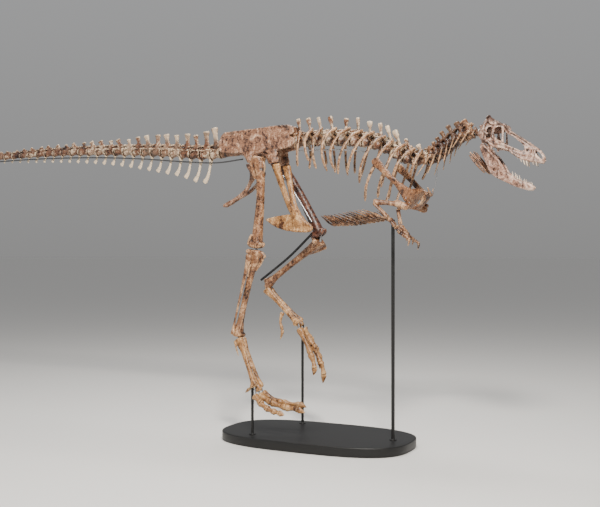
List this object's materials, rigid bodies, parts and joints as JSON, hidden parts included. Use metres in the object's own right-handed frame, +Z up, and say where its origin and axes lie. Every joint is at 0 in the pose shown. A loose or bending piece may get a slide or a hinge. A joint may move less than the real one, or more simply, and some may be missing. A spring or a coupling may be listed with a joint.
{
  "type": "mounted dinosaur skeleton",
  "caption": "Life-size skeleton of a young gorgosaur-like tyrannosaur, striding with one hind foot raised, held by steel rods and posts on a low black plinth.",
  "frame": {"origin": "centre of the underside of the plinth, on the floor", "axes": "+Z up, +X towards the head along the animal, +Y to the animal's left"},
  "size_m": [6.6797, 0.94, 2.797],
  "materials": {
    "bone": "matt mottled brown fossil bone",
    "bone_pale": "matt golden tan fossil bone",
    "bone_dark": "matt dark reddish fossil bone",
    "black_paint": "satin black paint",
    "steel_rod": "satin grey steel"
  },
  "bodies": {
    "root": {"femur_left": "bone_dark", "femur_right": "bone", "fibula_left": "bone", "fibula_right": "bone", "finger_1_left": "bone", "finger_1_right": "bone", "finger_2_left": "bone", "finger_2_right": "bone", "furcula": "bone", "gastralia": "bone", "hand_left": "bone", "hand_right": "bone", "humerus_left": "bone", "humerus_right": "bone", "hyoids": "bone", "ilium_left": "bone", "ilium_right": "bone", "ischium_left": "bone", "ischium_right": "bone", "jaw_left": "bone", "jaw_right": "bone", "metatarsus_left": "bone_pale", "metatarsus_right": "bone_pale", "neck_front": "bone", "neck_rear": "bone_dark", "pubis_left": "bone", "pubis_right": "bone", "radius_left": "bone", "radius_right": "bone", "rib_cage_left": "bone", "rib_cage_right": "bone", "sacrum": "bone", "scapula_left": "bone", "scapula_right": "bone", "skull": "bone", "stand_base": "black_paint", "stand_post_foot_left": "black_paint", "stand_post_foot_right": "black_paint", "stand_post_front": "black_paint", "stand_rail_tail": "steel_rod", "stand_rod_neck": "steel_rod", "stand_rod_shin_left": "steel_rod", "stand_rod_thigh_left": "steel_rod", "tail_1": "bone", "tail_2": "bone", "tail_3": "bone", "tail_4": "bone", "tibia_left": "bone_dark", "tibia_right": "bone", "toe_1_left": "bone_pale", "toe_1_right": "bone_pale", "toe_2_left": "bone_pale", "toe_2_right": "bone_pale", "toe_3_left": "bone_pale", "toe_3_right": "bone_pale", "toe_4_left": "bone_pale", "toe_4_right": "bone_pale", "ulna_left": "bone", "ulna_right": "bone"}
  },
  "joints": []
}
